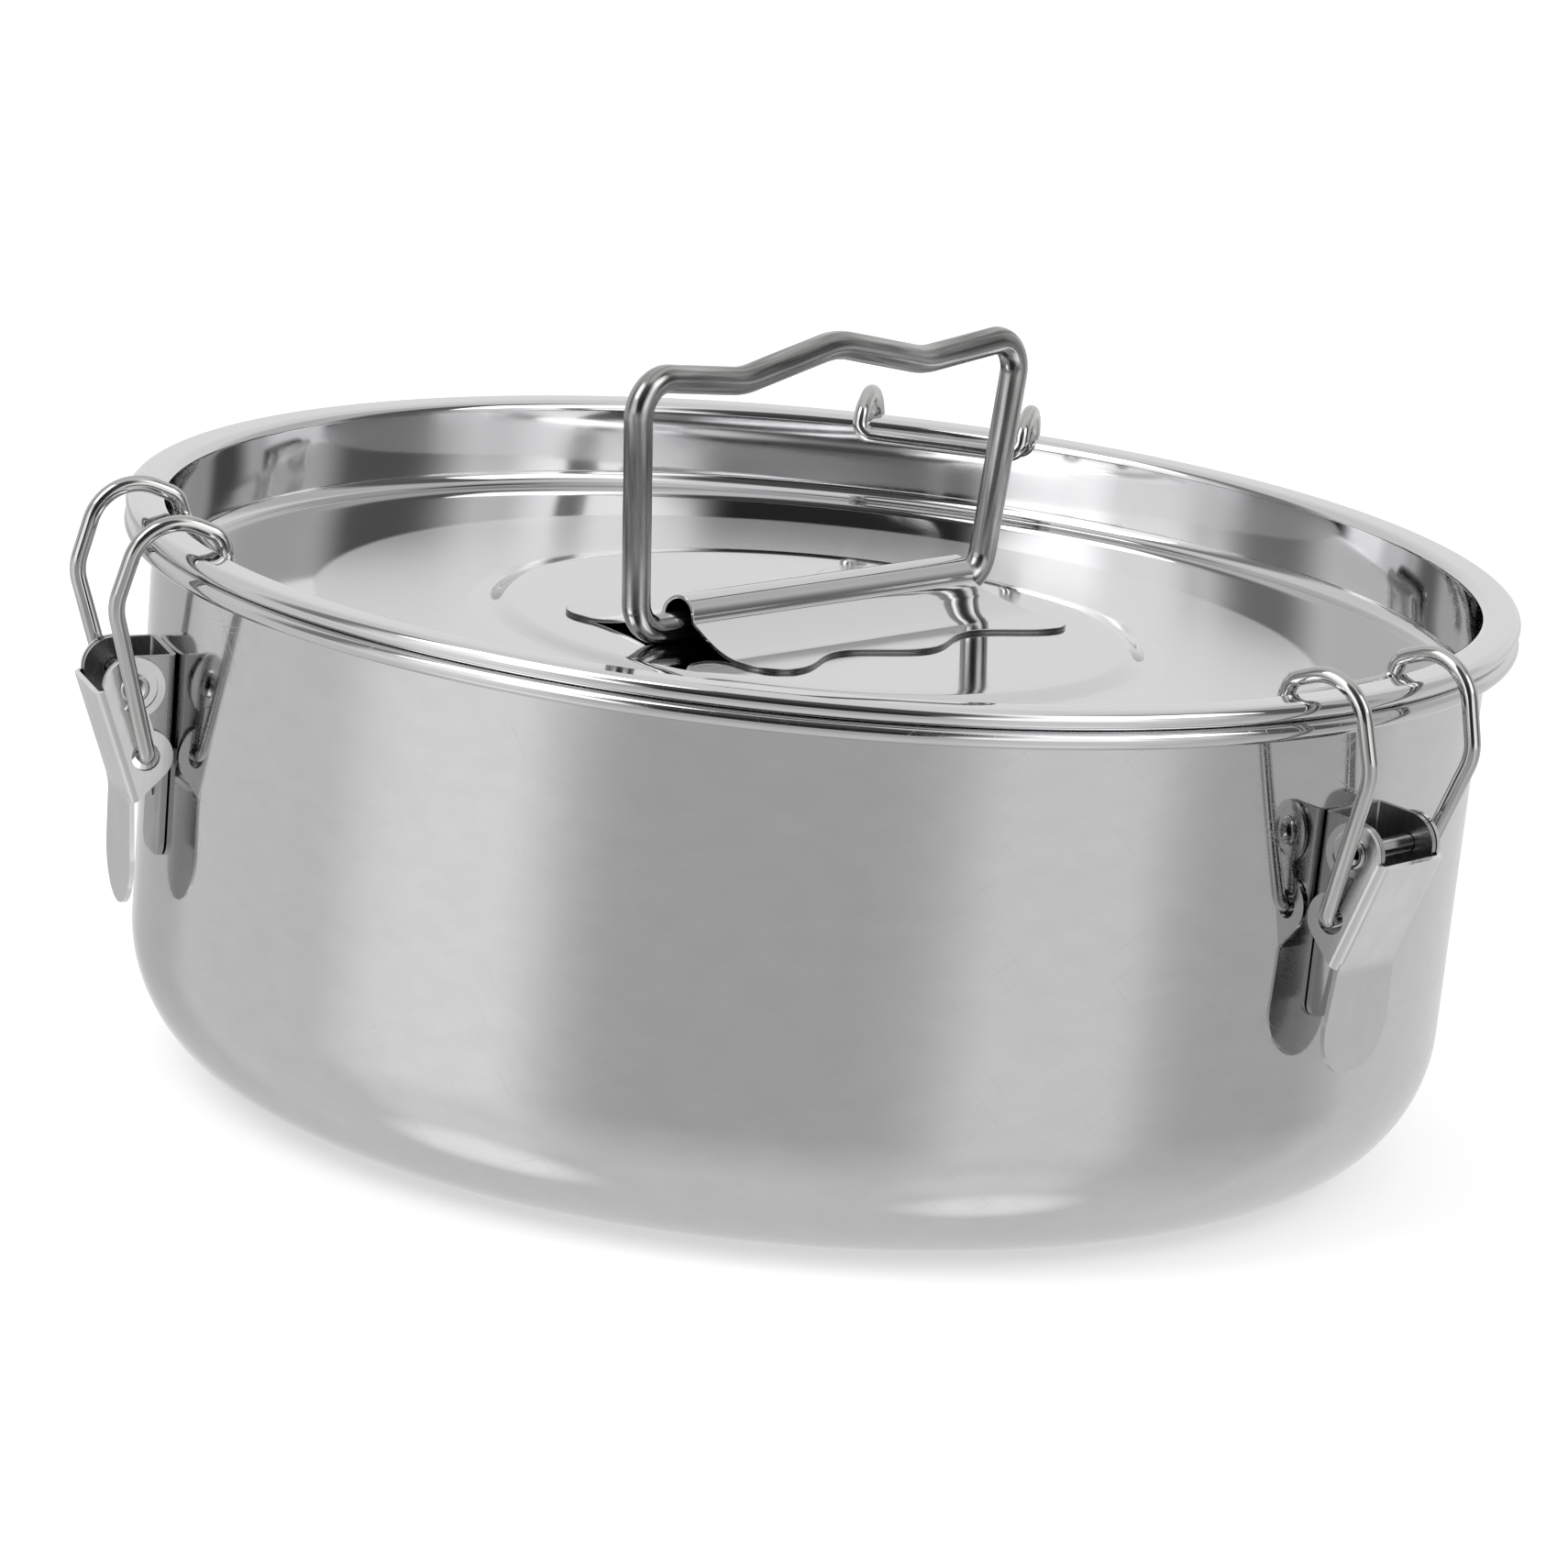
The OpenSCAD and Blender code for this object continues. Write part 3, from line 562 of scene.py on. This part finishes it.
# Levels are for what polished metal sees. A card is (azimuth right of the camera, half width, edge, level),
# a dark patch or a spot (azimuth, elevation, radius, edge, level). Fades are between two heights of a
# direction, from -1 straight down to 1 straight up. The floor's radius and the lamps are in metres.
studio = {"world": 0.85, "floor": 3.0, "floorSides": 64, "floorColour": "#E8E8E8", "floorLift": 0.4,
          "horizon": (-0.06, 0.03), "under": 0.76, "tableFade": (-0.32, -0.85),
          "room": 0.88, "cardTop": (0.8, 0.94),
          "cards": [(-42, 15, 6, 2.0), (-60, 6, 6, 1.3), (-90, 7, 9, 0.26), (-125, 20, 14, 0.8),
                    (38, 18, 6, 1.5), (89, 12, 10, 0.13), (120, 12, 12, 0.6)],
          "dark": [(-3, 36, 31, 8, 0.09), (-3, 8, 25, 5, 0.03)],
          "table": 0.76,
          "tableCards": [(-57, 14, 19, 1.03), (46, 14, 13, 0.86), (90, 18, 13, 0.54), (-7, 30, 15, 0.53),
                         (-148, 12, 10, 0.58)],
          "spots": [(-68, -46, 3, 13, 0.93), (-83, -60, 4, 11, 1.18), (50, -48, 3, 13, 0.88),
                    (69, -63, 4, 9, 1.1)]}


def toward(azimuth, elevation):
    angle, rise = math.radians(azimuth + camera["azimuth"]), math.radians(elevation)
    return Vector((math.sin(angle) * math.cos(rise), -math.cos(angle) * math.cos(rise), math.sin(rise)))


# Lays soft round patches of other levels over a level. Each fades out from half - edge to half + edge
# degrees off its middle.
def cards(tree, heading, level, places):
    for aim, half, edge, value in places:
        near = add(tree, "ShaderNodeVectorMath", {0: heading, 1: aim}, operation="DOT_PRODUCT")
        outside, inside = (math.cos(math.radians(angle)) for angle in (half + edge, max(half - edge, 0)))
        limits = {0: near.outputs["Value"], 1: outside, 2: inside}
        share = add(tree, "ShaderNodeMapRange", limits, interpolation_type="SMOOTHSTEP")
        level = add(tree, "ShaderNodeMix", {0: share.outputs[0], 2: level, 3: value}).outputs[0]
    return level


# Seen by the camera the studio is white. Metal sees upright soft cards round a dark camera side, a table
# with its own bands and bright spots. Dull surfaces see a plain level.
def makeWorld():
    world = bpy.data.worlds.new("studio")
    bpy.context.scene.world = world
    world.use_nodes = True
    tree = world.node_tree
    tree.nodes.clear()
    rays = add(tree, "ShaderNodeLightPath")
    direction = add(tree, "ShaderNodeTexCoord").outputs["Generated"]
    height = add(tree, "ShaderNodeSeparateXYZ", {0: direction}).outputs["Z"]
    flat = add(tree, "ShaderNodeVectorMath", {0: direction, 1: (1, 1, 0)}, operation="MULTIPLY")
    heading = add(tree, "ShaderNodeVectorMath", {0: flat.outputs[0]}, operation="NORMALIZE").outputs[0]
    upright = [(toward(azimuth, 0), *rest) for azimuth, *rest in studio["cards"]]
    lying = [(toward(azimuth, 0), *rest) for azimuth, *rest in studio["tableCards"]]
    bright = [(toward(azimuth, elevation), *rest) for azimuth, elevation, *rest in studio["spots"]]
    dark = [(toward(azimuth, elevation), *rest) for azimuth, elevation, *rest in studio["dark"]]
    walls = cards(tree, heading, studio["room"], upright)
    start, end = studio["cardTop"]
    above = add(tree, "ShaderNodeMapRange", {0: height, 1: start, 2: end})
    room = add(tree, "ShaderNodeMix", {0: above.outputs[0], 2: walls, 3: studio["room"]}).outputs[0]
    room = cards(tree, direction, room, dark)
    bands = cards(tree, heading, studio["table"], lying)
    start, end = studio["tableFade"]
    below = add(tree, "ShaderNodeMapRange", {0: height, 1: start, 2: end})
    table = add(tree, "ShaderNodeMix", {0: below.outputs[0], 2: bands, 3: studio["under"]}).outputs[0]
    table = cards(tree, direction, table, bright)
    start, end = studio["horizon"]
    side = add(tree, "ShaderNodeMapRange", {0: height, 1: start, 2: end})
    around = add(tree, "ShaderNodeMix", {0: side.outputs[0], 2: table, 3: room}).outputs[0]
    glossy, through = rays.outputs["Is Glossy Ray"], rays.outputs["Is Transmission Ray"]
    shiny = add(tree, "ShaderNodeMath", {0: glossy, 1: through}, operation="MAXIMUM").outputs[0]
    seen = add(tree, "ShaderNodeMix", {0: shiny, 2: studio["world"], 3: around}).outputs[0]
    level = add(tree, "ShaderNodeMix", {0: rays.outputs["Is Camera Ray"], 2: seen, 3: 1.0}).outputs[0]
    back = add(tree, "ShaderNodeBackground", {"Color": linear("#FFFFFF"), "Strength": level})
    add(tree, "ShaderNodeOutputWorld", {"Surface": back.outputs[0]})


# A pale seamless table. The camera sees it white but for the object's shadow, and metal sees the world's
# table in its place.
def makeFloor():
    material = bpy.data.materials.new("paleTable")
    material.use_nodes = True
    tree = material.node_tree
    tree.nodes.clear()
    rays = add(tree, "ShaderNodeLightPath")
    paint = add(tree, "ShaderNodeBsdfDiffuse", {"Color": linear(studio["floorColour"])})
    lift = add(tree, "ShaderNodeEmission", {"Strength": studio["floorLift"]})
    white = add(tree, "ShaderNodeAddShader", {0: paint.outputs[0], 1: lift.outputs[0]})
    seen = {0: rays.outputs["Is Camera Ray"], 1: paint.outputs[0], 2: white.outputs[0]}
    add(tree, "ShaderNodeOutputMaterial", {"Surface": add(tree, "ShaderNodeMixShader", seen).outputs[0]})
    turn = np.linspace(0, 2 * np.pi, studio["floorSides"], endpoint=False)
    edge = np.column_stack([np.cos(turn), np.sin(turn), 0 * turn]) * studio["floor"]
    mesh = bpy.data.meshes.new("table")
    mesh.from_pydata(edge.tolist(), [], [list(range(len(edge)))])
    mesh.materials.append(material)
    table = bpy.data.objects.new("table", mesh)
    bpy.context.scene.collection.objects.link(table)
    table.visible_glossy = False


# A wide soft lamp above the camera's left and a weaker one at its right. Power is in watts.
lamps = {"softLeft": {"azimuth": -55, "elevation": 48, "distance": 1.2, "size": 0.7, "power": 3.5},
         "softRight": {"azimuth": 65, "elevation": 40, "distance": 1.3, "size": 0.6, "power": 2.1}}


def addLamp(name, azimuth, elevation, distance, size, power):
    toLamp = toward(azimuth, elevation)
    data = bpy.data.lights.new(name, "AREA")
    data.size, data.energy = size, power
    lamp = bpy.data.objects.new(name, data)
    bpy.context.scene.collection.objects.link(lamp)
    lamp.location = toLamp * distance
    lamp.rotation_mode = "QUATERNION"
    lamp.rotation_quaternion = toLamp.to_track_quat("Z", "Y")


makeWorld()
makeFloor()
for lampName, values in lamps.items():
    addLamp(lampName, **values)
bpy.context.scene.view_settings.view_transform = "Standard"
print("studio made")
